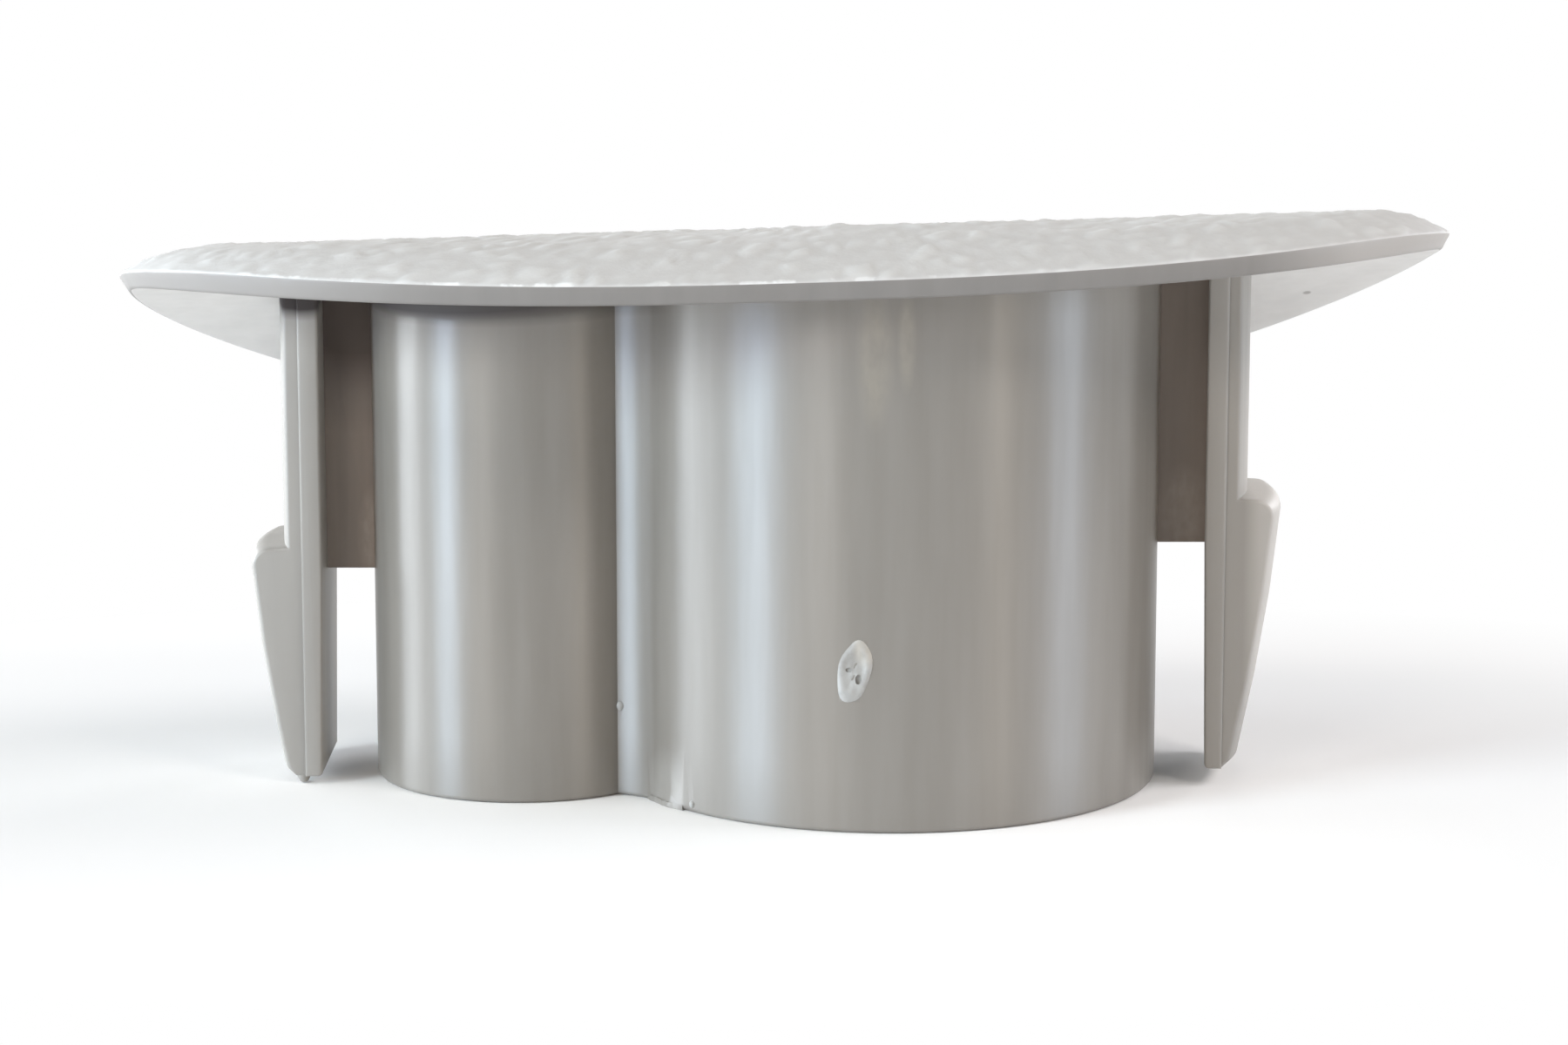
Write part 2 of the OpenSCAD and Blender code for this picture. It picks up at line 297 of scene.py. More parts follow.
class CapShape(bpy.types.PropertyGroup):
    """Sizes of the cap"""

    flange_length: length("Flange length", "Length of the oval flange", 39.6)
    flange_near_reach: length("Near reach", "Reach from the line of the tips to the near side", 10.0)
    flange_far_reach: length("Far reach", "Reach from the line of the tips to the far side", 12.5)
    flange_near_fullness: ratio("Near fullness", "Fullness of the near half, 2 is an ellipse", 2.5, 4.0)
    flange_far_fullness: ratio("Far fullness", "Fullness of the far half, 2 is an ellipse", 2.15, 4.0)
    flange_bend_radius: length("Bend radius", "Radius of the bend across the flange", 25.0)
    crown_rise: length("Crown rise", "Rise of the crown above the rim edge", 0.55)
    crown_band: length("Crown band", "Width of the rounded band along the rim", 3.0)
    rim_height: length("Rim height", "Height of the rim wall", 0.7)
    rim_lean: length("Rim lean", "Amount the rim wall leans in at its lower edge", 0.3)
    rim_round: length("Rim rounding", "Rounding of the rim edges", 0.13)
    tip_droop: length("Tip droop", "Drop of the rim edge at the two tips", 0.22)
    tip_crown: length("Tip crown", "Rise of the crown at the tip on the pin side", 0.10)
    mouth_swell: length("Mouth swell", "Rise of the top along the near edge of the pin bore", 0.22)
    flange_centre_x: shift("Flange centre X", "Flange centre along X", -3.1)
    flange_centre_y: shift("Flange centre Y", "Flange centre along Y", -1.25)
    flange_height: length("Flange height", "Height of the rim ends above the barrel ends", 16.15)
    flange_tilt: angle("Flange tilt", "Slope of the flange down to the far side", 14.0)
    flange_roll: angle("Flange roll", "Rise of the flange toward +X", 1.25)
    flange_turn: angle("Flange turn", "Turn of the flange about the pin axis", 3.95)
    pin_bore_diameter: length("Pin bore", "Bore for the lock pin knob", 13.7)
    pin_barrel_wall: length("Pin barrel wall", "Wall of the pin barrel", 1.35)
    lamp_bore_diameter: length("Lamp bore", "Bore for the indicator lamp", 6.3)
    lamp_barrel_wall: length("Lamp barrel wall", "Wall of the lamp barrel", 1.4)
    bore_wall: length("Bore wall", "Wall left between the two bores", 1.15)
    bore_lip: length("Bore lip", "Rounding of the bore edges in the flange", 0.15)
    bridge_lamp_side: length("Bridge lamp side", "Half width of the bridge at the lamp barrel", 3.45)
    bridge_pin_side: length("Bridge pin side", "Half width of the bridge at the pin barrel", 4.2)
    bridge_hollow: length("Bridge hollow", "Depth of the hollow of the bridge wall", 0.07)
    barrel_chamfer: length("Barrel chamfer", "Rounding of the barrel ends", 0.15)
    lamp_leg_gap: length("Lamp leg gap", "Gap between the lamp barrel and its leg", 1.4)
    pin_leg_gap: length("Pin leg gap", "Gap between the pin barrel and its leg", 1.47)
    pin_leg_turn: angle("Pin leg turn", "Turn of the pin side leg, its far edge outward", 5.5)
    leg_width: length("Leg width", "Width of each leg", 4.4)
    leg_plate: length("Leg plate", "Thickness of the flat inner plate of each leg", 0.62)
    lamp_leg_thickness: length("Lamp leg thickness", "Thickness of the lamp side leg", 1.32)
    pin_leg_thickness: length("Pin leg thickness", "Thickness of the pin side leg", 1.27)
    leg_face_radius: length("Leg face radius", "Radius of the rounded outer face of a leg", 7.4)
    leg_step: length("Leg step", "Step from the inner plate to the outer face piece", 0.15)
    leg_edge: length("Leg edge", "Rounding of the leg edges", 0.09)
    lamp_tip_height: length("Lamp leg tip", "Height of the lamp side leg tip", 0.25)
    pin_tip_height: length("Pin leg tip", "Height of the pin side leg tip", 0.5)
    leg_draft: length("Leg draft", "Draft of the inner face from the web down to the tip", 0.1)
    leg_tip_radius: length("Leg tip radius", "Radius of the inner corner of the leg tip", 0.15)
    lamp_barb_top: length("Lamp barb top", "Top of the barb on the lamp side", 7.3)
    pin_barb_top: length("Pin barb top", "Top of the barb on the pin side", 8.8)
    barb_reach: length("Barb reach", "Reach of the barb beyond the leg", 1.02)
    barb_corner: length("Barb corner", "Radius of the barb top corner", 0.5)
    barb_top_drop: length("Barb top drop", "Drop of the barb top toward its corner", 0.03)
    barb_upper_drop: length("Barb upper drop", "Drop to the first bend of the barb slope", 3.05)
    barb_upper_set: length("Barb upper set", "Narrowing of the barb at the first bend", 0.28)
    barb_lower_drop: length("Barb lower drop", "Drop to the second bend of the barb slope", 5.6)
    barb_lower_set: length("Barb lower set", "Narrowing of the barb at the second bend", 0.68)
    barb_end_slope: ratio("Barb end slope", "Narrowing per length below the second bend", 0.2)
    barb_tip_chamfer: length("Barb tip chamfer", "Chamfer of the leg tip", 0.22)
    web_thickness: length("Web thickness", "Thickness of the webs between barrels and legs", 1.2)
    lamp_web_bottom: length("Lamp web bottom", "Lower edge of the web on the lamp side", 6.4)
    pin_web_bottom: length("Pin web bottom", "Lower edge of the web on the pin side", 7.2)


class CapFinish(bpy.types.PropertyGroup):
    """Colours and surface of the cap"""

    plastic_colour: colour("Plastic", "Colour of the moulded plastic", (0.215, 0.198, 0.176))
    streak_colour: colour("Streaks", "Colour of the darker flow streaks", (0.186, 0.170, 0.149))
    leg_colour: colour("Legs", "Colour of the legs and barbs", (0.315, 0.297, 0.273))
    # Painted light: tone of the lit outer face of the pin side leg
    leg_lit_colour: colour("Leg rubs", "Colour of the rubbed outer face of a leg", (0.43, 0.405, 0.375))
    # Painted light: the underside is paler than the plastic, for the light thrown up from the floor
    flange_colour: colour("Flange", "Colour of the underside of the flange", (0.78, 0.77, 0.75))
    # Painted shade: the down-facing rim wall is darker than the plastic
    rim_shade_colour: colour("Rim", "Colour of the rim wall of the flange", (0.225, 0.212, 0.20))
    grain_colour: colour("Grained top", "Colour of the grained flange top", (0.625, 0.62, 0.605))
    pit_colour: colour("Grain pits", "Colour of the pits of the grain", (0.565, 0.555, 0.54))
    # Painted highlight: tone of the pale dots on the rim edge
    edge_sparkle_colour: colour("Rubbed edge", "Colour of the rubbed spots on the rim edge", (0.88, 0.88, 0.87))
    # Painted shade: the webs are darker than the rest of the plastic, for the shade in their recess
    web_shade_colour: colour("Webs", "Colour of the grimy webs", (0.27, 0.218, 0.18))
    # Painted light: tone of the paler places low on the webs
    web_lit_colour: colour("Web rubs", "Colour of the rubbed places on the webs", (0.36, 0.30, 0.25))
    scuff_colour: colour("Scuff", "Colour of scuffed and torn plastic", (0.42, 0.415, 0.40))
    # Painted highlight: tone of the warm upper end of the gate mark
    warm_highlight_colour: colour("Warm scuff", "Colour of the gate mark's warm end", (0.46, 0.41, 0.34))
    stain_colour: colour("Stain", "Colour of the yellowed rub marks", (0.29, 0.258, 0.21))
    # Colour of a real dirt speck, also used for the painted shade on the lamp web and the painted shadow
    # in the slit by the flash
    speck_and_shade_colour: colour("Speck", "Colour of the dirt speck and of the webs' dirt", (0.10, 0.08, 0.07))
    # Painted shadow: tone of the dark patch under the near rim
    rim_shadow_colour: colour("Grime", "Colour of the grime in the corner under the rim", (0.05, 0.042, 0.04))
    # Painted light: tones of the paler rim wall at the two tips
    left_end_light_colour: colour("Rim left end", "Colour of the rim at the lamp end", (0.285, 0.268, 0.253))
    right_end_light_colour: colour("Rim right end", "Colour of the rim at the pin end", (0.395, 0.372, 0.35))
    barrel_roughness: ratio("Barrel roughness", "Roughness of the satin walls", 0.42)
    grain_roughness: ratio("Grain roughness", "Roughness of the grained top", 0.55)
    grain_size: length("Grain size", "Width of one pebble of the grain", 0.62)
    grain_height: length("Grain height", "Height of the pebbles", 0.06)
    wrinkle_length: ratio("Wrinkle length", "Length of a pebble for its width", 1.8, 5.0)
    wrinkle_turn: angle("Wrinkle turn", "Turn of the wrinkles from across the flange", 30.0)


class CapStage(bpy.types.PropertyGroup):
    """Floor, light and camera"""

    floor_colour: colour("Floor", "Colour of the floor", (0.96, 0.96, 0.96))
    shadow_reach: length("Shadow reach", "Reach of the shadow before the floor fades to white", 11.0)
    shadow_stretch: ratio("Shadow stretch", "Length of the shadow along X for its depth", 1.75, 5.0)
    ambient_level: ratio("Ambient", "Strength of the light from all round", 0.02)
    light_level: ratio("Light level", "Strength of all the soft lights together", 1.0, 10.0)
    camera_lens: ratio("Lens", "Focal length of the camera in mm", 97.46, 500.0)


def drawing_of(shape):
    """The sizes of the cap as plain numbers, lengths in mm and angles in radians."""
    values = {}
    for prop in shape.bl_rna.properties:
        if prop.type == "FLOAT":
            value = getattr(shape, prop.identifier)
            values[prop.identifier] = value / MM if prop.unit == "LENGTH" else value
    s = SimpleNamespace(**values)
    s.half_length = s.flange_length / 2
    s.pin_bore, s.lamp_bore = s.pin_bore_diameter / 2, s.lamp_bore_diameter / 2
    s.pin_radius = s.pin_bore + s.pin_barrel_wall
    s.lamp_radius = s.lamp_bore + s.lamp_barrel_wall
    s.lamp_x = -(s.pin_bore + s.bore_wall + s.lamp_bore)
    s.pin_leg_x = s.pin_radius + s.pin_leg_gap
    s.lamp_leg_x = s.lamp_x - s.lamp_radius - s.lamp_leg_gap
    s.placing = (
        Matrix.Translation((s.flange_centre_x, s.flange_centre_y, s.flange_height))
        @ Matrix.Rotation(s.flange_turn, 4, "Z")
        @ Matrix.Rotation(-s.flange_roll, 4, "Y")
        @ Matrix.Rotation(-s.flange_tilt, 4, "X"))
    return s


# Meshes

def mesh_object(name, points, faces, materials=()):
    """A new object from points and faces."""
    mesh = bpy.data.meshes.new(name)
    mesh.from_pydata([tuple(p) for p in points], [], faces)
    for material in materials:
        mesh.materials.append(material)
    mesh.validate()
    mesh.update()
    piece = bpy.data.objects.new(name, mesh)
    bpy.context.scene.collection.objects.link(piece)
    return piece


def rings_solid(name, rings, materials, flip=False):
    """A closed solid through rings of equal length, with one face over each end."""
    count = len(rings[0])
    points = [p for ring in rings for p in ring]
    faces = []
    for j in range(len(rings) - 1):
        low, high = j * count, (j + 1) * count
        for i in range(count):
            n = (i + 1) % count
            faces.append((low + i, low + n, high + n, high + i))
    last = (len(rings) - 1) * count
    faces.append(tuple(range(count - 1, -1, -1)))
    faces.append(tuple(range(last, last + count)))
    if flip:
        faces = [tuple(reversed(face)) for face in faces]
    return mesh_object(name, points, faces, materials)


def drop_object(piece):
    """Removes an object and its mesh."""
    mesh = piece.data
    bpy.data.objects.remove(piece)
    bpy.data.meshes.remove(mesh)


def settle(piece):
    """Turns an object's live modifiers into a plain mesh."""
    bpy.context.view_layer.update()
    graph = bpy.context.evaluated_depsgraph_get()
    mesh = bpy.data.meshes.new_from_object(piece.evaluated_get(graph), depsgraph=graph)
    old = piece.data
    piece.modifiers.clear()
    piece.data = mesh
    bpy.data.meshes.remove(old)


def combine(piece, others, operation):
    """Joins other closed solids to a piece, or cuts them from it, and removes them."""
    for other in others:
        cut = piece.modifiers.new("join", "BOOLEAN")
        cut.operation = operation
        cut.solver = "MANIFOLD"
        cut.material_mode = "TRANSFER"
        cut.object = other
        settle(piece)
        drop_object(other)
    if not piece.data.polygons:
        raise RuntimeError(piece.name + " came out empty")


def side_normals(sides):
    """Directions square to the sides of a polygon, to their left."""
    return np.stack([-sides[:, 1], sides[:, 0]], 1) / np.linalg.norm(sides, axis=1)[:, None]


def inset(polygon, amount):
    """A polygon that runs anticlockwise, with every side moved in by an amount."""
    points = np.asarray(polygon, float)
    before = side_normals(points - np.roll(points, 1, axis=0))
    after = side_normals(np.roll(points, -1, axis=0) - points)
    return points + amount * (before + after) / (1 + np.sum(before * after, axis=1))[:, None]


def rounding(radius):
    """Steps round a quarter circle, each with the amount it is set in and its height."""
    for t in np.radians(ROUND_STEPS):
        yield radius * (1 - math.sin(t)), radius * (1 - math.cos(t))


def end_stations(half, radius):
    """Places across a rounded bar with the amount its section is set in, at both its ends."""
    high = [(half - out, inward) for out, inward in rounding(radius)]
    return [(-y, inward) for y, inward in reversed(high)], high


def arch(t):
    """0 at both ends of the way from 0 to 1, and 1 in the middle."""
    return 4 * t * (1 - t)


def waves(parts, t):
    """The sum of sine waves at a place."""
    return sum(height * math.sin(count * t + start) for height, count, start in parts)


# Nodes

def add_node(tree, kind, inputs=None, **settings):
    """A new node with its settings, and its inputs linked to sockets or set to plain values."""
    node = tree.nodes.new(kind)
    for name, value in settings.items():
        setattr(node, name, value)
    for key, value in (inputs or {}).items():
        if isinstance(value, bpy.types.NodeSocket):
            tree.links.new(value, node.inputs[key])
        else:
            node.inputs[key].default_value = value
    return node


def joined(tree, operation, first, second):
    """Two values put together, each a socket or a plain number."""
    return add_node(tree, "ShaderNodeMath", {0: first, 1: second}, operation=operation).outputs[0]


def vectors(tree, operation, first, second):
    """Two vectors put together."""
    node = add_node(tree, "ShaderNodeVectorMath", {0: first, 1: second}, operation=operation)
    return node.outputs[0]


def scaled(tree, vector, scale):
    """A vector times a value."""
    node = add_node(tree, "ShaderNodeVectorMath", {0: vector, "Scale": scale}, operation="SCALE")
    return node.outputs[0]


def map_range(tree, source, span, result=(0, 1), **settings):
    """A value moved from one span to another."""
    inputs = dict(zip(("From Min", "From Max", "To Min", "To Max"), (*span, *result)))
    return add_node(tree, "ShaderNodeMapRange", {"Value": source, **inputs}, **settings).outputs[0]


# Flange

def bend_at(s, v):
    """Height of the bend at a distance across the flange."""
    return np.sqrt(s.flange_bend_radius ** 2 - np.asarray(v) ** 2) - s.flange_bend_radius


def flange_height_at(s, x, y, lift=0.0):
    """Height of the middle of the flange over points of the floor, in mm."""
    back = np.array(s.placing.inverted())
    z = np.full(x.shape, s.flange_height)
    for _ in range(HEIGHT_ROUNDS):
        v = back[1, 0] * x + back[1, 1] * y + back[1, 2] * z + back[1, 3]
        w = back[2, 0] * x + back[2, 1] * y + back[2, 2] * z + back[2, 3]
        slope = -v / np.sqrt(s.flange_bend_radius ** 2 - v ** 2)
        z = z - (w - bend_at(s, v) - lift) / (back[2, 2] - slope * back[1, 2])
    return z


def oval_points(s):
    """Points of the flange outline at even steps along it."""
    t = np.linspace(0, 2 * math.pi, OVAL_FINENESS * RIM_STEPS + 1)
    near = t > math.pi
    power = 2 / np.where(near, s.flange_near_fullness, s.flange_far_fullness)
    reach = np.where(near, s.flange_near_reach, s.flange_far_reach)
    u = s.half_length * np.sign(np.cos(t)) * np.abs(np.cos(t)) ** power
    v = reach * np.sign(np.sin(t)) * np.abs(np.sin(t)) ** power
    run = np.concatenate([[0], np.cumsum(np.hypot(np.diff(u), np.diff(v)))])
    even = np.linspace(0, run[-1], RIM_STEPS, endpoint=False)
    return np.interp(even, run, u), np.interp(even, run, v)


def crown_at(s, d):
    """Height of the crown over the bend at a distance in from the rim."""
    return s.crown_rise * (1 - (1 - min(d, s.crown_band) / s.crown_band) ** 2)


def curve_through(start, corner, end, steps):
    """Points of a rounded corner between two points."""
    for t in np.linspace(0, 1, steps):
        yield tuple((1 - t) ** 2 * np.asarray(start) + 2 * t * (1 - t) * np.asarray(corner)
                    + t * t * np.asarray(end))


def flange_profile(s):
    """Rings of the flange from the middle of its top, over the rim, to the middle below.

    Each ring is a distance in from the rim, a share of the oval left, a height over the
    bend and the share of the grain there.
    """
    band, r = s.crown_band, s.rim_round
    rings = [(band, MIDDLE_SHARE, s.crown_rise, 1.0)]
    rings += [(band, k, s.crown_rise, 1.0) for k in np.linspace(CORE_SHARE, 1, CROWN_STEPS)]
    rings += [(d, 1.0, crown_at(s, d), 1.0) for d in np.linspace(band, r, BAND_STEPS)[1:-1]]
    wall = np.array([s.rim_lean, -s.rim_height])
    run = wall / np.linalg.norm(wall)
    edge = list(curve_through((r, crown_at(s, r)), (0, 0), run * r, EDGE_STEPS))
    for j, (d, h) in enumerate(edge):
        rings.append((d, 1.0, h, 1.0 - EDGE_GRAIN_LOSS * j / (EDGE_STEPS - 1)))
    foot = list(curve_through(wall - run * r, wall, wall + np.array([r, 0]), FOOT_STEPS))
    middle = (np.asarray(edge[-1]) + np.asarray(foot[0])) / 2
    rings.append((middle[0], 1.0, middle[1], WALL_GRAIN))
    rings += [(d, 1.0, h, 0.0) for d, h in foot]
    rings += [(d, 1.0, -s.rim_height, 0.0) for d in UNDER_RINGS]
    rings += [(band, k, -s.rim_height, 0.0) for k in np.linspace(1, CORE_SHARE, UNDER_STEPS)]
    rings.append((band, MIDDLE_SHARE, -s.rim_height, 0.0))
    return rings


def swell_at(s, u, v):
    """Rise of the top along the near edge of the pin bore."""
    along = np.clip(1 - ((u - SWELL_PLACE[0]) / SWELL_SIZE[0]) ** 2, 0, 1) ** 2
    return s.mouth_swell * along * np.exp(-((v - SWELL_PLACE[1]) / SWELL_SIZE[1]) ** 2)


def droop_at(s, u, d, h):
    """Drop of the rim edge toward the tips, less the fuller crown at the pin end.

    It fades to none at the lower edge of the rim.
    """
    tip = np.clip((np.abs(u) / s.half_length - TIP_START) / (1 - TIP_START), 0, 1) ** 2
    inward = d / s.crown_band
    drop = s.tip_droop * (1 - inward) ** DROOP_POWER - s.tip_crown * (u > 0) * arch(inward)
    return drop * tip * min(1.0, max(0.0, 1 + h / s.rim_height))


def flange_blank(s, materials):
    """The bent, crowned oval flange without its bores, with the share of grain at each point."""
    u, v = oval_points(s)
    reach = np.hypot(u, v)
    rings, shares, walls = [], [], []
    for d, k, h, grain in flange_profile(s):
        left = (1 - d / reach) * k
        z = bend_at(s, v * left) + h - droop_at(s, u, d, h)
        if h > 0:
            z = z + swell_at(s, u * left, v * left)
        rings.append(np.stack([u * left, v * left, z], 1))
        shares += [grain] * RIM_STEPS
        walls.append(d < s.rim_lean + s.rim_round and grain < WALL_GRAIN_LIMIT)
    blank = rings_solid("flange_blank", rings, materials, flip=True)
    for j, face in enumerate(blank.data.polygons[:(len(rings) - 1) * RIM_STEPS]):
        ring = j // RIM_STEPS
        face.material_index = int(walls[ring] and walls[ring + 1])
    blank.data.transform(s.placing)
    share = blank.data.attributes.new("grain_share", "FLOAT", "POINT")
    share.data.foreach_set("value", shares)
    return blank


def grain_tree():
    """Geometry nodes that raise a leather grain on the marked part of a surface."""
    tree = bpy.data.node_groups.new("leather_grain", "GeometryNodeTree")
    face = tree.interface
    face.new_socket("Geometry", in_out="INPUT", socket_type="NodeSocketGeometry")
    for name in ("Pebble Size", "Pebble Height", "Wrinkle Length", "Wrinkle Turn", "Seed"):
        face.new_socket(name, in_out="INPUT", socket_type="NodeSocketFloat")
    face.new_socket("Grained Material", in_out="INPUT", socket_type="NodeSocketMaterial")
    face.new_socket("Geometry", in_out="OUTPUT", socket_type="NodeSocketGeometry")
    given = add_node(tree, "NodeGroupInput").outputs
    size, seed = given["Pebble Size"], given["Seed"]
    share = add_node(tree, "GeometryNodeInputNamedAttribute", {"Name": "grain_share"},
                     data_type="FLOAT").outputs["Attribute"]
    place = add_node(tree, "GeometryNodeInputPosition").outputs[0]
    density = joined(tree, "DIVIDE", 1.0, size)

    drift = add_node(tree, "ShaderNodeTexNoise", {
        "Vector": place, "W": seed, "Scale": joined(tree, "MULTIPLY", density, DRIFT_SCALE),
        "Detail": DRIFT_DETAIL}, noise_dimensions="4D")
    pull = scaled(tree, drift.outputs["Color"], joined(tree, "MULTIPLY", size, DRIFT_PULL))
    turned = add_node(tree, "ShaderNodeVectorRotate", {
        "Vector": vectors(tree, "ADD", place, pull), "Angle": given["Wrinkle Turn"]},
        rotation_type="Z_AXIS")
    narrow = add_node(tree, "ShaderNodeCombineXYZ", {
        "X": 1.0, "Y": joined(tree, "DIVIDE", 1.0, given["Wrinkle Length"]), "Z": 1.0})
    pebbles = add_node(tree, "ShaderNodeTexVoronoi", {
        "Vector": vectors(tree, "MULTIPLY", turned.outputs[0], narrow.outputs[0]),
        "W": seed, "Scale": density}, voronoi_dimensions="4D", feature="DISTANCE_TO_EDGE")
    dome = map_range(tree, pebbles.outputs["Distance"], (0, DOME_EDGE),
                     interpolation_type="SMOOTHSTEP")
    fine = add_node(tree, "ShaderNodeTexNoise", {
        "Vector": place, "W": seed, "Scale": joined(tree, "MULTIPLY", density, GRIT_SCALE),
        "Detail": GRIT_DETAIL, "Roughness": GRIT_ROUGHNESS}, noise_dimensions="4D")

    grit = joined(tree, "MULTIPLY", joined(tree, "SUBTRACT", fine.outputs[0], NOISE_MIDDLE), GRIT_SHARE)
    rise = joined(tree, "ADD", joined(tree, "SUBTRACT", dome, DOME_MIDDLE), grit)
    kept = add_node(tree, "GeometryNodeStoreNamedAttribute", {
        "Geometry": given["Geometry"], "Name": "grain_height",
        "Value": map_range(tree, rise, GRAIN_SPAN)}, data_type="FLOAT", domain="POINT")
    rise = joined(tree, "MULTIPLY", rise, given["Pebble Height"])
    rise = joined(tree, "MULTIPLY", rise, share)
    normal = add_node(tree, "GeometryNodeInputNormal").outputs[0]
    raised = add_node(tree, "GeometryNodeSetPosition", {
        "Geometry": kept.outputs[0], "Offset": scaled(tree, normal, rise)})
    whole = add_node(tree, "GeometryNodeRealizeInstances", {0: raised.outputs[0]})
    grained = add_node(tree, "FunctionNodeCompare", {0: share, 1: GRAINED_FROM},
                       data_type="FLOAT", operation="GREATER_THAN")
    painted = add_node(tree, "GeometryNodeSetMaterial", {
        "Geometry": whole.outputs[0], "Selection": grained.outputs[0],
        "Material": given["Grained Material"]})
    add_node(tree, "NodeGroupOutput", {0: painted.outputs[0]})
    return tree


def raise_grain(blank, finish, grained):
    """Raises the grain on a flange blank and turns it into a plain mesh."""
    tree = grain_tree()
    modifier = blank.modifiers.new("grain", "NODES")
    modifier.node_group = tree
    values = {
        "Pebble Size": finish.grain_size / MM,
        "Pebble Height": finish.grain_height / MM,
        "Wrinkle Length": finish.wrinkle_length,
        "Wrinkle Turn": finish.wrinkle_turn,
        "Seed": GRAIN_SEED,
        "Grained Material": grained,
    }
    for socket in tree.interface.items_tree:
        if socket.in_out == "INPUT" and socket.name in values:
            modifier[socket.identifier] = values[socket.name]
    settle(blank)
    bpy.data.node_groups.remove(tree)


# Stems

def arc_points(centre_x, radius, start, end):
    """Points along an arc, without its last one."""
    count = max(LEAST_ARC_STEPS, int(abs(end - start) * radius / ARC_STEP))
    t = np.linspace(start, end, count, endpoint=False)
    return np.stack([centre_x + radius * np.cos(t), radius * np.sin(t)], 1)


def barrels_outline(s):
    """Outline of the two barrels and their bridge, running anticlockwise."""
    pin_end = np.array([-math.sqrt(s.pin_radius ** 2 - s.bridge_pin_side ** 2), s.bridge_pin_side])
    lamp_end = np.array([s.lamp_x + math.sqrt(s.lamp_radius ** 2 - s.bridge_lamp_side ** 2),
                         s.bridge_lamp_side])
    pin_turn = math.atan2(pin_end[1], pin_end[0])
    lamp_turn = math.atan2(lamp_end[1], lamp_end[0] - s.lamp_x)
    run = lamp_end - pin_end
    inward = np.array([-run[1], run[0]]) / np.linalg.norm(run)
    along = np.linspace(0, 1, BRIDGE_STEPS, endpoint=False)[:, None]
    upper = np.concatenate([
        arc_points(0, s.pin_radius, 0, pin_turn),
        pin_end + along * run + s.bridge_hollow * arch(along) * inward,
        arc_points(s.lamp_x, s.lamp_radius, lamp_turn, math.pi)])
    lower = np.concatenate([upper[1:], [[s.lamp_x - s.lamp_radius, 0]]])[::-1]
    return np.concatenate([upper, lower * np.array([1, -1])])


def barrels(s, materials):
    """Both barrels with the bridge between them, up to the middle of the flange."""
    outline = barrels_outline(s)
    chamfer = s.barrel_chamfer
    top = flange_height_at(s, outline[:, 0], outline[:, 1])
    rings = [np.column_stack([inset(outline, inward), np.full(len(outline), z)])
             for inward, z in rounding(chamfer)]
    for k in np.linspace(0, 1, WALL_STEPS)[1:]:
        rings.append(np.column_stack([outline, chamfer + (top - chamfer) * k]))
    return rings_solid("barrels", rings, materials)


def leg_plate(s, tip, web_bottom, materials):
    """Flat inner plate of a leg, +X outward, inner face at X = 0, before it is placed."""
    high, r = s.flange_height, s.leg_tip_radius
    section = [(s.leg_plate, tip), (s.leg_plate, high), (0, high), (0, web_bottom)]
    for a in np.radians(np.linspace(180, 270, TIP_STEPS)):
        section.append((s.leg_draft + r + r * math.cos(a), tip + r + r * math.sin(a)))
    low, up = end_stations(s.leg_width / 2, s.leg_edge)
    rings = []
    for y, d in low + up:
        ring = inset(section, d)
        rings.append(np.column_stack([ring[:, 0], np.full(len(ring), y), ring[:, 1]]))
    return rings_solid("leg_plate", rings, materials, flip=True)


def barb_section(s, thickness, tip, barb_top):
    """Section of the rounded outer face and its barb, as radius and height, anticlockwise."""
    face, reach = s.leg_face_radius, s.leg_face_radius + s.barb_reach
    inner = face - thickness
    corner_z = barb_top - s.barb_top_drop - s.barb_corner
    end_z = tip + s.barb_tip_chamfer
    end_r = reach - s.barb_lower_set - (barb_top - s.barb_lower_drop - end_z) * s.barb_end_slope
    section = [
        (inner, tip), (end_r - s.barb_tip_chamfer, tip), (end_r, end_z),
        (reach - s.barb_lower_set, barb_top - s.barb_lower_drop),
        (reach - s.barb_upper_set, barb_top - s.barb_upper_drop)]
    for t in np.radians(np.linspace(0, 90, BARB_STEPS)):
        section.append((reach - s.barb_corner + s.barb_corner * math.cos(t),
                        corner_z + s.barb_corner * math.sin(t)))
    section += [(face, barb_top), (face, s.flange_height), (inner, s.flange_height)]
    return section


def leg_face(s, thickness, tip, barb_top, materials):
    """Rounded outer face of a leg with its barb, +X outward, before it is placed."""
    half = s.leg_width / 2 - s.leg_step
    low, up = end_stations(half, s.leg_edge)
    inside = half - s.leg_edge
    middle = [(y, 0.0) for y in np.linspace(-inside, inside, FACE_STEPS)[1:-1]]
    axis = thickness - s.leg_face_radius
    start = s.leg_draft + s.leg_tip_radius
    section = barb_section(s, thickness, tip, barb_top)
    rings = []
    for y, d in low + middle + up:
        ring = inset(section, d)
        x = axis + np.sqrt(ring[:, 0] ** 2 - y * y)
        x = np.where(ring[:, 0] < s.leg_face_radius - thickness / 2,
                     np.maximum(x, start + d), x)
        rings.append(np.column_stack([x, np.full(len(ring), y), ring[:, 1]]))
    return rings_solid("leg_face", rings, materials, flip=True)


def web(s, gap, bottom, materials):
    """Thin web between a barrel and its leg, +X outward, leg inner face at X = 0."""
    half, r = s.web_thickness / 2, s.leg_edge
    cut = HALF_ROUND * r
    side = [(half - r, bottom), (half - cut, bottom + cut), (half, bottom + r), (half, s.flange_height)]
    section = [(-y, z) for y, z in reversed(side)] + side
    rings = [np.array([(x, y, z) for y, z in section]) for x in (-gap - WEB_JOIN, WEB_JOIN)]
    return rings_solid("web", rings, materials)


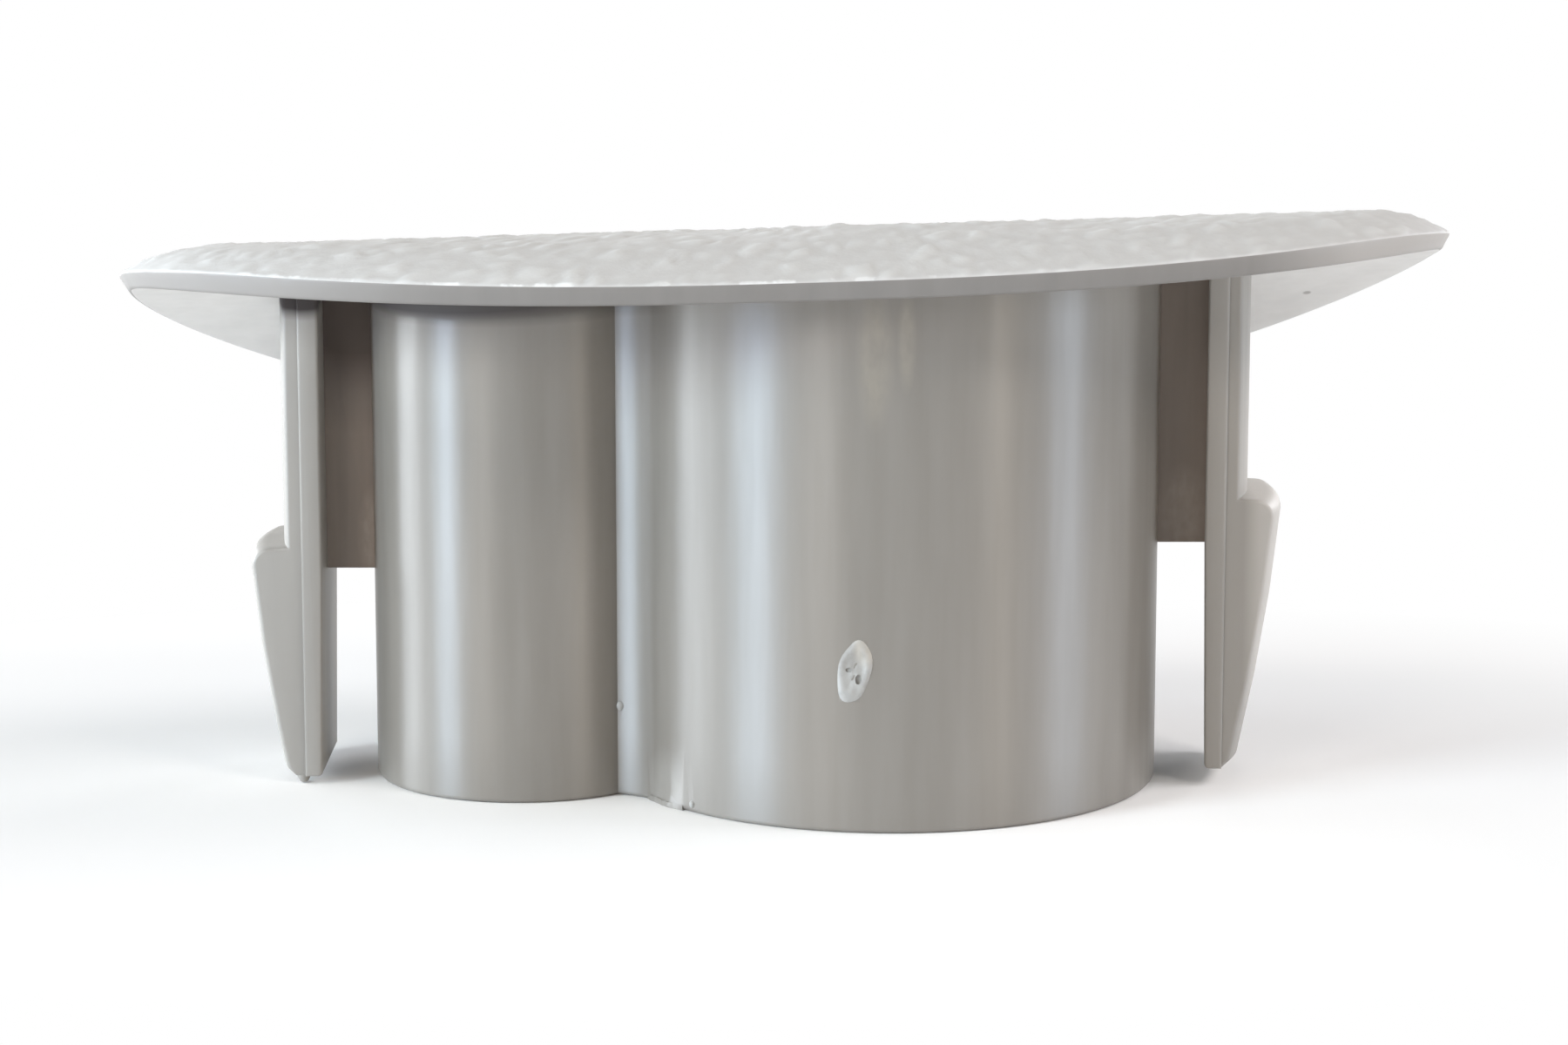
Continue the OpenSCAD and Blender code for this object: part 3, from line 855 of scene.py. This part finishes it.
def set_under_flange(s, piece, x, turn, mirrored):
    """Puts a leg part in place and brings its upper end to the middle of the flange."""
    piece.data.transform(Matrix.Rotation(-turn, 4, "Z"))
    points = np.array([v.co for v in piece.data.vertices])
    if mirrored:
        points[:, 0] *= -1
    points[:, 0] += x
    high = points[:, 2] > s.flange_height - UPPER_END
    points[high, 2] = flange_height_at(s, points[high, 0], points[high, 1])
    piece.data.vertices.foreach_set("co", points.ravel())
    if mirrored:
        piece.data.flip_normals()
    piece.data.update()
    return piece


def leg_parts(s, materials, web_materials):
    """The two legs with their barbs and webs."""
    made = []
    sides = (
        (s.pin_leg_x, s.pin_leg_turn, False, s.pin_leg_gap, s.pin_leg_thickness,
         s.pin_tip_height, s.pin_barb_top, s.pin_web_bottom),
        (s.lamp_leg_x, 0.0, True, s.lamp_leg_gap, s.lamp_leg_thickness,
         s.lamp_tip_height, s.lamp_barb_top, s.lamp_web_bottom))
    for x, turn, mirrored, gap, thickness, tip, barb_top, web_bottom in sides:
        leg = (leg_plate(s, tip, web_bottom, materials),
               leg_face(s, thickness, tip, barb_top, materials))
        made += [set_under_flange(s, part, x, turn, mirrored) for part in leg]
        made.append(set_under_flange(s, web(s, gap, web_bottom, web_materials), x, 0.0, mirrored))
    return made


def bore_cutters(s, materials):
    """Cutters for the two through bores, flared where they meet the flange and the barrel ends."""
    made = []
    for name, x, radius in (("pin_bore", 0.0, s.pin_bore), ("lamp_bore", s.lamp_x, s.lamp_bore)):
        count = int(2 * math.pi * radius / ARC_STEP)
        t = np.linspace(0, 2 * math.pi, count, endpoint=False)
        ray = np.stack([np.cos(t), np.sin(t)], 1)
        mouth = np.array([x, 0]) + ray * radius
        top = flange_height_at(s, mouth[:, 0], mouth[:, 1], s.crown_rise)
        floor = np.zeros(count)
        stations = [(s.barrel_chamfer, floor - CUT_SPARE)]
        stations += [(out, floor + z) for out, z in rounding(s.barrel_chamfer)]
        stations += [(0.0, k * (top - s.bore_lip)) for k in BORE_RISES]
        for a in np.radians(np.linspace(0, 90, LIP_STEPS)):
            stations.append((s.bore_lip * (1 - math.cos(a)), top - s.bore_lip * (1 - math.sin(a))))
        stations.append((s.bore_lip * LIP_FLARE, top + CUT_SPARE))
        rings = [np.column_stack([np.array([x, 0]) + ray * (radius + out), z]) for out, z in stations]
        made.append(rings_solid(name, rings, materials))
    return made


# Marks

def barrel_patch(s, name, place, size, heights, depth, materials, lean=0.0):
    """A closed low lump on the pin barrel.

    Place is along the wall from its front and up it, size is half its width and height, and
    heights gives the height over the wall at a share of the way out and a turn.
    """
    rings = []
    for level in range(2 * PATCH_ROWS):
        top = level < PATCH_ROWS
        k = (level + 1 if top else 2 * PATCH_ROWS - level) / PATCH_ROWS
        ring = []
        for i in range(PATCH_STEPS):
            phi = 2 * math.pi * i / PATCH_STEPS
            wander = 1 + waves(PATCH_WANDER, phi)
            up = size[1] * k * wander * math.sin(phi)
            along = size[0] * k * wander * math.cos(phi) + lean * up
            turn = -math.pi / 2 + (place[0] + along) / s.pin_radius
            r = s.pin_radius + (heights(k, phi) if top else -depth)
            ring.append((r * math.cos(turn), r * math.sin(turn), place[1] + up))
        rings.append(np.array(ring))
    return rings_solid(name, rings, materials, flip=True)


def gate_height(k, phi):
    """Height of the gate mark: a ragged ring with ripples inside and an edge that drops off."""
    ring = math.exp(-((k - GATE_RING) / GATE_RING_WIDTH) ** 2)
    ring *= RAGGED_LEVEL + waves(GATE_WAVES, phi)
    ripple = RIPPLE_HEIGHT * math.sin(RIPPLE_COUNTS[0] * k + RIPPLE_COUNTS[1] * phi) * (1 - k)
    drop = GATE_EDGE_DROP * max(0.0, k - GATE_EDGE) / (1 - GATE_EDGE)
    return GATE_SKIN + GATE_RING_HEIGHT * ring + ripple - drop


def open_height(k, phi):
    """Height of a pit's cutter, clear of the gate mark everywhere."""
    return PIT_OPEN


def gate_mark(s, materials):
    """The scuffed ring left on the pin barrel where the gate was cut."""
    return barrel_patch(s, "gate_mark", GATE_PLACE, GATE_SIZE, gate_height, GATE_ROOT, materials,
                        lean=GATE_LEAN)


def gate_pits(s, materials):
    """Cutters for the two small pits in the gate mark."""
    made = []
    for along, up, size, depth in GATE_PITS:
        place = (GATE_PLACE[0] + along, GATE_PLACE[1] + up)
        made.append(barrel_patch(s, "gate_pit", place, size, open_height, depth, materials))
    return made


def edge_flash(s, materials):
    """A pressed-out skin of plastic along the end of the pin barrel, next to the bridge."""
    rings = []
    for t in np.linspace(0, 1, FLASH_STEPS):
        turn = math.radians(FLASH_SPAN[0] + (FLASH_SPAN[1] - FLASH_SPAN[0]) * t)
        swell = math.sin(math.pi * t) ** FLASH_SWELL
        out = FLASH_REACH[0] + FLASH_REACH[1] * swell * (RAGGED_LEVEL + waves(FLASH_RAGGED, t))
        tall = FLASH_HEIGHT[0] + FLASH_HEIGHT[1] * swell * (CREST_LEVEL + waves(CREST_WAVES, t))
        section = [(-FLASH_ROOT, FLASH_FOOT)]
        section += [(out * d, z) for d, z in FLASH_FRONT]
        section += [(out * d, tall * z) for d, z in FLASH_SLOPE]
        section += [(-FLASH_SKIN, tall), (-FLASH_ROOT, tall)]
        rings.append(np.array([((s.pin_radius + d) * math.cos(turn),
                                (s.pin_radius + d) * math.sin(turn), z) for d, z in section]))
    return rings_solid("edge_flash", rings, materials, flip=True)


def small_lump(name, centre, stations, materials, along_y=False):
    """A small closed lump through round sections, each a height, a half width and a half depth."""
    rings = []
    for height, wide, deep in stations:
        ring = []
        for i in range(LUMP_STEPS):
            a = 2 * math.pi * i / LUMP_STEPS
            u, v = wide * math.cos(a), deep * math.sin(a)
            ring.append((centre[0] + u, centre[1] - height, centre[2] + v) if along_y
                        else (centre[0] + u, centre[1] + v, centre[2] + height))
        rings.append(np.array(ring))
    return rings_solid(name, rings, materials)


def glint_nubs(materials):
    """Small nibs on the wall between the barrels and by the flash, their pale colour a painted glint."""
    made = []
    for centre, size in GLINT_NUBS:
        stations = [(height, wide * size, deep * size) for height, wide, deep in NUB_STATIONS]
        made.append(small_lump("glint_nub", centre, stations, materials, along_y=True))
    return made


def tip_flash(s, materials):
    """A nib of flash under the tip of the lamp side leg."""
    centre = (s.lamp_leg_x - s.leg_plate - TIP_NIB_SET[0], -s.leg_width / 2 + TIP_NIB_SET[1], 0.0)
    return small_lump("tip_flash", centre, TIP_NIB_STATIONS, materials)


# Materials

def new_material(name):
    """A fresh node material with its tree and its shader."""
    material = bpy.data.materials.new(name)
    material.use_nodes = True
    tree = material.node_tree
    return material, tree, tree.nodes["Principled BSDF"]


def object_place(tree, **inputs):
    """Object coordinates, moved and scaled."""
    place = add_node(tree, "ShaderNodeTexCoord").outputs["Object"]
    return add_node(tree, "ShaderNodeMapping", {"Vector": place, **inputs}).outputs["Vector"]


def stretched_noise(tree, scale, stretch=(1, 1, 1), detail=3.0):
    """Noise on object coordinates, drawn out along each axis by a stretch."""
    place = object_place(tree, Scale=[1 / v for v in stretch])
    noise = add_node(tree, "ShaderNodeTexNoise", {"Vector": place, "Scale": scale, "Detail": detail})
    return noise.outputs[0]


def paint(tree, shader, source, places, tones):
    """Gives a shader a colour that runs from one tone to another between two places of a value."""
    node = add_node(tree, "ShaderNodeValToRGB", {0: source})
    for element, place, tone in zip(node.color_ramp.elements, places, tones):
        element.position = place
        element.color = (*tone, 1.0)
    tree.links.new(node.outputs[0], shader.inputs["Base Color"])


def patches(tree, places, breakup=PLAIN_EDGE):
    """1 at the middle of each patch, fading to 0 at its edge, broken up by fine noise.

    A patch is a centre and a half size along each axis, in mm.
    """
    most = None
    for centre, size in places:
        place = object_place(tree, Location=[-c / r for c, r in zip(centre, size)],
                             Scale=[1 / (r * MM) for r in size])
        ball = add_node(tree, "ShaderNodeTexGradient", {"Vector": place},
                        gradient_type="SPHERICAL").outputs["Fac"]
        most = ball if most is None else joined(tree, "MAXIMUM", most, ball)
    edge = map_range(tree, most, PATCH_FADE)
    if not breakup:
        return edge
    span = (NOISE_MIDDLE - breakup, NOISE_MIDDLE + breakup)
    worn = map_range(tree, stretched_noise(tree, *FINE_WEAR), span)
    return joined(tree, "MULTIPLY", edge, worn)


def tinted(tree, shader, mask, tone):
    """Lays a tone over the colour that a shader already has, where a mask is 1."""
    under = shader.inputs["Base Color"].links[0].from_socket
    mix = add_node(tree, "ShaderNodeMix", {MIX_SHARE: mask, MIX_UNDER: under, MIX_OVER: (*tone, 1)},
                   data_type="RGBA")
    tree.links.new(mix.outputs[MIX_RESULT], shader.inputs["Base Color"])


def bump(tree, shader, source, strength, depth):
    """Gives a shader fine relief from a value."""
    relief = add_node(tree, "ShaderNodeBump", {
        "Strength": strength, "Distance": depth, "Height": source})
    tree.links.new(relief.outputs[0], shader.inputs["Normal"])


def smooth_plastic(name, light, dark, roughness, specular, marks, painted_shade=None, drawn=0.0):
    """Smooth moulded plastic with faint draw marks up the walls.

    Marks are places, a tone and how softly fine noise breaks them up, and the last argument is places
    and a tone for a dull, dark layer of painted shade.
    """
    material, tree, shader = new_material(name)
    shader.inputs["IOR"].default_value = PLASTIC_IOR
    shader.inputs["Specular IOR Level"].default_value = specular
    shader.inputs["Anisotropic"].default_value = drawn
    streak = stretched_noise(tree, *FLOW_STREAKS)
    paint(tree, shader, streak, NOISE_SPAN, (dark, light))
    for places, tone, breakup in marks:
        tinted(tree, shader, patches(tree, places, breakup), tone)
    rough = map_range(tree, streak, NOISE_SPAN, (roughness + STREAK_SWING, roughness - STREAK_SWING))
    # A dark, dull layer of painted shade where the last argument places it
    if painted_shade:
        shade_film = patches(tree, painted_shade[0])
        tinted(tree, shader, shade_film, painted_shade[1])
        rough = joined(tree, "MAXIMUM", rough, shade_film)
    tree.links.new(rough, shader.inputs["Roughness"])
    upright = add_node(tree, "ShaderNodeCombineXYZ", {"Z": 1.0})
    tree.links.new(upright.outputs[0], shader.inputs["Tangent"])
    bump(tree, shader, stretched_noise(tree, *DRAW_MARKS), *DRAW_BUMP)
    return material


def satin_plastic(finish):
    """Satin plastic of the barrels and their flash, with a painted shadow under the rim and a painted
    shadow in the slit by the flash.
    """
    marks = [(RUB_MARKS, finish.stain_colour, RUB_BREAKUP),
             (FLASH_PALE, finish.leg_colour, PALE_BREAKUP),
             (FLASH_SLIT_SHADOW, finish.speck_and_shade_colour, RUB_BREAKUP)]
    return smooth_plastic("satin_plastic", finish.plastic_colour, finish.streak_colour,
                          finish.barrel_roughness, SATIN_SPECULAR, marks,
                          (RIM_SHADOW_PAINT, finish.rim_shadow_colour), drawn=SATIN_DRAWN)


def dull_plastic(finish, name, tone, marks, painted_shade=None, streaks=0.93, duller=0.06, specular=0.5):
    """Plastic that is duller than the barrels, its streaks a share of its own tone."""
    dark = [streaks * c for c in tone]
    return smooth_plastic(name, tone, dark, finish.barrel_roughness + duller, specular, marks, painted_shade)


def leg_plastic(finish):
    """Plastic of the legs and barbs, with painted light on the pin side leg's outer face and a painted
    shadow under the rim.
    """
    return dull_plastic(finish, "leg_plastic", finish.leg_colour,
                        [(LEG_LIT_PAINT, finish.leg_lit_colour, PLAIN_EDGE)],
                        (RIM_SHADOW_PAINT, finish.rim_shadow_colour))


def lit_underside_plastic(finish):
    """Paler plastic of the underside of the flange, its paler tone a painted light thrown up from the
    floor.
    """
    return dull_plastic(finish, "lit_underside_plastic", finish.flange_colour,
                        [(DIRT_SPECKS, finish.speck_and_shade_colour, SPECK_BREAKUP)], streaks=0.94)


def shaded_rim_plastic(finish):
    """Plastic of the rim wall of the flange, darker as painted shade, with paler ends as painted light.
    """
    return dull_plastic(finish, "shaded_rim_plastic", finish.rim_shade_colour,
                        [(RIM_LEFT_END_LIGHT, finish.left_end_light_colour, PLAIN_EDGE),
                         (RIM_RIGHT_END_LIGHT, finish.right_end_light_colour, PLAIN_EDGE)], streaks=0.92)


def shaded_web_plastic(finish):
    """Darker brown plastic of the webs, deep between the barrels and the legs, their dark tone a painted
    shade of that recess.
    """
    return dull_plastic(finish, "shaded_web_plastic", finish.web_shade_colour,
                        [(WEB_LIT_PAINT, finish.web_lit_colour, WEB_BREAKUP)],
                        (WEB_SHADE_PAINT, finish.speck_and_shade_colour), streaks=0.8, duller=0.1, specular=0.4)


def grained_plastic(finish):
    """Dull plastic of the grained flange top, darker in the pits, with pale dots on the rim edge as
    painted highlights.
    """
    material, tree, shader = new_material("grained_plastic")
    shader.inputs["IOR"].default_value = GRAIN_IOR
    shader.inputs["Specular IOR Level"].default_value = GRAIN_SPECULAR
    height, share = [add_node(tree, "ShaderNodeAttribute", attribute_name=name).outputs["Fac"]
                     for name in ("grain_height", "grain_share")]
    paint(tree, shader, height, PIT_SPAN, (finish.pit_colour, finish.grain_colour))
    sparkle_spots = map_range(tree, stretched_noise(tree, SPARKLE_SPOTS), SPARKLE_SPAN)
    sparkle_spots = joined(tree, "MULTIPLY", sparkle_spots, patches(tree, RIM_SPARKLE_PAINT, RIM_BREAKUP))
    edge = map_range(tree, share, EDGE_SPAN)
    tinted(tree, shader, joined(tree, "MULTIPLY", edge, sparkle_spots), finish.edge_sparkle_colour)
    r = finish.grain_roughness
    rough = map_range(tree, stretched_noise(tree, DULL_CLOUDS), NOISE_SPAN,
                      (r + CLOUD_SWING, r - CLOUD_SWING))
    tree.links.new(rough, shader.inputs["Roughness"])
    bump(tree, shader, stretched_noise(tree, FINE_GRIT), *GRIT_BUMP)
    return material


def scuffed_plastic(finish):
    """Pale torn plastic of the gate mark, with a painted warm highlight at its upper end, and of the
    small nibs whose pale colour is a painted glint.
    """
    material, tree, shader = new_material("scuffed_plastic")
    tear = stretched_noise(tree, TORN_SKIN, detail=TORN_DETAIL)
    dark = [TORN_DARK * c for c in finish.scuff_colour]
    paint(tree, shader, tear, TORN_SPAN, (dark, finish.scuff_colour))
    middle = [(a + b) / 2 for a, b in zip(finish.plastic_colour, finish.scuff_colour)]
    for places, tone in ((GATE_MIDDLE, middle), (GATE_FAINT_END, finish.plastic_colour),
                         (GATE_WARM_HIGHLIGHT, finish.warm_highlight_colour)):
        tinted(tree, shader, patches(tree, places, GATE_BREAKUP), tone)
    rough = map_range(tree, tear, NOISE_SPAN, TORN_ROUGHNESS)
    tree.links.new(rough, shader.inputs["Roughness"])
    bump(tree, shader, tear, *TORN_BUMP)
    return material


# Stage

def set_in_scene(name, data, place, target):
    """A lamp or camera in the scene at a place in mm, facing a target."""
    holder = bpy.data.objects.new(name, data)
    holder.location = place * MM
    holder.rotation_euler = (target - place).to_track_quat("-Z", "Y").to_euler()
    bpy.context.scene.collection.objects.link(holder)
    return holder


def soft_lamp(name, turn, rise, far, size, power, tone):
    """A rectangular soft light that faces the cap: turn is from the camera's side, to the right."""
    lamp = bpy.data.lights.new(name, "AREA")
    lamp.shape = "RECTANGLE"
    lamp.size, lamp.size_y = size[0] * MM, size[1] * MM
    lamp.energy = power
    lamp.color = tone
    turn, rise = math.radians(turn), math.radians(rise)
    way = Vector((math.sin(turn) * math.cos(rise), -math.cos(turn) * math.cos(rise),
                  math.sin(rise)))
    target = Vector(LIT_POINT)
    set_in_scene(name, lamp, target + far * way, target)


def seen_directly(tree):
    """1 for rays from the camera, a reflection or a clear piece, and 0 for the rest."""
    path = add_node(tree, "ShaderNodeLightPath").outputs
    seen = path["Is Camera Ray"]
    for name in ("Is Glossy Ray", "Is Transmission Ray"):
        seen = joined(tree, "MAXIMUM", seen, path[name])
    return seen


def white_surround(stage):
    """A world that the camera and reflections see as white."""
    world = bpy.data.worlds.new("white_surround")
    world.use_nodes = True
    bpy.context.scene.world = world
    tree = world.node_tree
    level = map_range(tree, seen_directly(tree), (0, 1), (stage.ambient_level, 1.0))
    background = tree.nodes["Background"]
    background.inputs["Color"].default_value = (1, 1, 1, 1)
    tree.links.new(level, background.inputs["Strength"])


def studio_floor(stage):
    """A plain pale floor under the barrel ends that fades to white round the cap's shadow."""
    half = FLOOR_HALF * MM
    corners = [(-half, -half, 0), (half, -half, 0), (half, half, 0), (-half, half, 0)]
    material, tree, shader = new_material("studio_floor")
    floor = mesh_object("studio_floor", corners, [(0, 1, 2, 3)], [material])
    shader.inputs["Base Color"].default_value = (*stage.floor_colour, 1)
    shader.inputs["Roughness"].default_value = FLOOR_ROUGHNESS
    shader.inputs["Specular IOR Level"].default_value = FLOOR_SPECULAR
    place = add_node(tree, "ShaderNodeTexCoord").outputs["Object"]
    spread = add_node(tree, "ShaderNodeMapping", {
        "Vector": place, "Location": (LIT_POINT[0] * MM, 0, 0),
        "Scale": (stage.shadow_stretch, 1, 1)}, vector_type="TEXTURE")
    far = add_node(tree, "ShaderNodeVectorMath", {0: spread.outputs["Vector"]}, operation="LENGTH")
    fade = map_range(tree, far.outputs["Value"], (stage.shadow_reach, FADE_END * stage.shadow_reach))
    share = joined(tree, "MULTIPLY", fade, seen_directly(tree))
    white = add_node(tree, "ShaderNodeEmission")
    mix = add_node(tree, "ShaderNodeMixShader", {
        0: share, 1: shader.outputs[0], 2: white.outputs[0]})
    tree.links.new(mix.outputs[0], tree.nodes["Material Output"].inputs["Surface"])


def photo_camera(stage):
    """The camera at the photograph's viewing angle."""
    lens = bpy.data.cameras.new("photo_camera")
    lens.sensor_fit = "HORIZONTAL"
    lens.sensor_width = SENSOR_WIDTH
    lens.lens = stage.camera_lens
    lens.clip_start, lens.clip_end = CLIP_RANGE
    camera = set_in_scene("photo_camera", lens, Vector(CAMERA_PLACE), Vector(CAMERA_TARGET))
    bpy.context.scene.camera = camera


# Operators

class CAP_OT_flange(bpy.types.Operator):
    """Makes the grained flange blank"""

    bl_idname = "cap.flange"
    bl_label = "Make Flange"

    def execute(self, context):
        finish = context.scene.cap_finish
        smooth = [lit_underside_plastic(finish), shaded_rim_plastic(finish)]
        blank = flange_blank(drawing_of(context.scene.cap_shape), smooth)
        raise_grain(blank, finish, grained_plastic(finish))
        return {"FINISHED"}


class CAP_OT_stems(bpy.types.Operator):
    """Makes the barrels, legs, barbs and webs and joins them to the flange"""

    bl_idname = "cap.stems"
    bl_label = "Join Stems"

    def execute(self, context):
        s = drawing_of(context.scene.cap_shape)
        blank = bpy.data.objects["flange_blank"]
        finish = context.scene.cap_finish
        satin, legs = [satin_plastic(finish)], [leg_plastic(finish)]
        stems = [barrels(s, satin)] + leg_parts(s, legs, [shaded_web_plastic(finish)])
        combine(blank, stems, "UNION")
        return {"FINISHED"}


class CAP_OT_finish(bpy.types.Operator):
    """Adds the gate mark and flash, cuts the bores and finishes the cap"""

    bl_idname = "cap.finish"
    bl_label = "Finish Cap"

    def execute(self, context):
        s = drawing_of(context.scene.cap_shape)
        cap = bpy.data.objects["flange_blank"]
        satin, legs = [[bpy.data.materials[name]] for name in ("satin_plastic", "leg_plastic")]
        scuffed = [scuffed_plastic(context.scene.cap_finish)]
        lumps = [gate_mark(s, scuffed), edge_flash(s, satin), tip_flash(s, legs)]
        combine(cap, lumps + glint_nubs(scuffed), "UNION")
        combine(cap, gate_pits(s, scuffed) + bore_cutters(s, satin), "DIFFERENCE")
        cap.name = cap.data.name = "base_cap_skin"
        cap.data.transform(Matrix.Scale(MM, 4))
        cap.data.shade_smooth()
        cap.data.set_sharp_from_angle(angle=math.radians(SHARP_ANGLE))
        cap.data.update()
        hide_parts(CAP_NODE)
        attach(cap, CAP_BODY)
        return {"FINISHED"}


class CAP_OT_stage(bpy.types.Operator):
    """Sets the floor, the soft lights, the white surround and the camera"""

    bl_idname = "cap.stage"
    bl_label = "Set Stage"

    def execute(self, context):
        stage = context.scene.cap_stage
        for name, turn, rise, far, size, power, tone in SOFT_LIGHTS:
            soft_lamp(name, turn, rise, far, size, power * stage.light_level, tone)
        white_surround(stage)
        studio_floor(stage)
        photo_camera(stage)
        context.scene.view_settings.view_transform = "Standard"
        return {"FINISHED"}


class CAP_PT_panel(bpy.types.Panel):
    """Lists the steps and the values of the cap"""

    bl_idname = "CAP_PT_panel"
    bl_label = "Base Cap"
    bl_space_type = "VIEW_3D"
    bl_region_type = "UI"
    bl_category = "Base Cap"

    def draw(self, context):
        layout = self.layout
        for step in (CAP_OT_flange, CAP_OT_stems, CAP_OT_finish, CAP_OT_stage):
            layout.operator(step.bl_idname)
        for group in GROUPS:
            values = getattr(context.scene, group)
            column = layout.box().column()
            for prop in values.bl_rna.properties:
                if prop.type == "FLOAT":
                    column.prop(values, prop.identifier)


GROUPS = {"cap_shape": CapShape, "cap_finish": CapFinish, "cap_stage": CapStage}
CLASSES = (*GROUPS.values(), CAP_OT_flange, CAP_OT_stems, CAP_OT_finish, CAP_OT_stage, CAP_PT_panel)


def register():
    """Adds the classes and the groups of values to Blender."""
    for cls in CLASSES:
        bpy.utils.register_class(cls)
    for group, kind in GROUPS.items():
        setattr(bpy.types.Scene, group, bpy.props.PointerProperty(type=kind))


def unregister():
    """Takes the classes and the groups of values out of Blender."""
    for group in GROUPS:
        delattr(bpy.types.Scene, group)
    for cls in reversed(CLASSES):
        bpy.utils.unregister_class(cls)


def main():
    """Builds the cap and its stage."""
    register()
    bpy.ops.cap.flange()
    bpy.ops.cap.stems()
    bpy.ops.cap.finish()
    bpy.ops.cap.stage()


if __name__ == "__main__":
    main()
